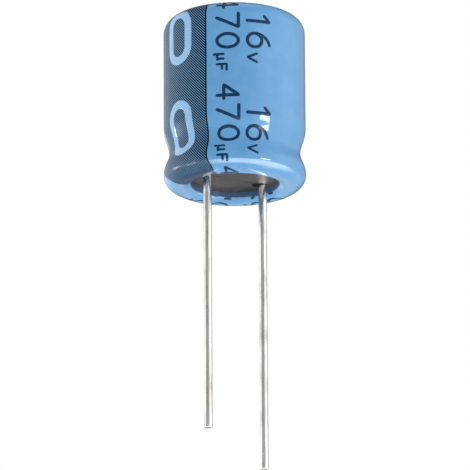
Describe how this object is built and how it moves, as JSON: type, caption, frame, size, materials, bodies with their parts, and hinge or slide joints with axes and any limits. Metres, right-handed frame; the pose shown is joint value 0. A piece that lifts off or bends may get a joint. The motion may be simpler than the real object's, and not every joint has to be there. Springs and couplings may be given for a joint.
{
  "type": "radial aluminium electrolytic capacitor",
  "caption": "Upright cylindrical electrolytic capacitor: a wound foil roll in a grooved aluminium case with a rubber bung, blue film with a dark polarity band, and long wire leads.",
  "frame": {"origin": "midway between the two leads, on the seating plane at the lowest ring of the curled rim", "axes": "+Z along the body's axis from the leads to the case's top; +X from the negative lead to the positive lead"},
  "size_m": [0.0103, 0.0104, 0.0335],
  "materials": {
    "film_blue": "glossy heat-shrunk film",
    "film_ink": "glossy printed ink",
    "case_aluminium": "bright drawn",
    "bung_rubber": "semi-gloss moulded",
    "tinned_wire": "tinned",
    "tab_aluminium": "pressed",
    "anode_etched": "etched, matt",
    "cathode_etched": "etched, matt",
    "separator_paper": "damp paper",
    "roll_tape": "translucent tape"
  },
  "bodies": {
    "root": {"sleeve": "film_blue", "polarity_band": "film_ink", "case": "case_aluminium", "bung": "bung_rubber", "anode_wire": "tinned_wire", "cathode_wire": "tinned_wire", "anode_tab": "tab_aluminium", "cathode_tab": "tab_aluminium", "anode_foil": "anode_etched", "cathode_foil": "cathode_etched", "inner_paper": "separator_paper", "outer_paper": "separator_paper", "closing_tape": "roll_tape"}
  },
  "joints": []
}
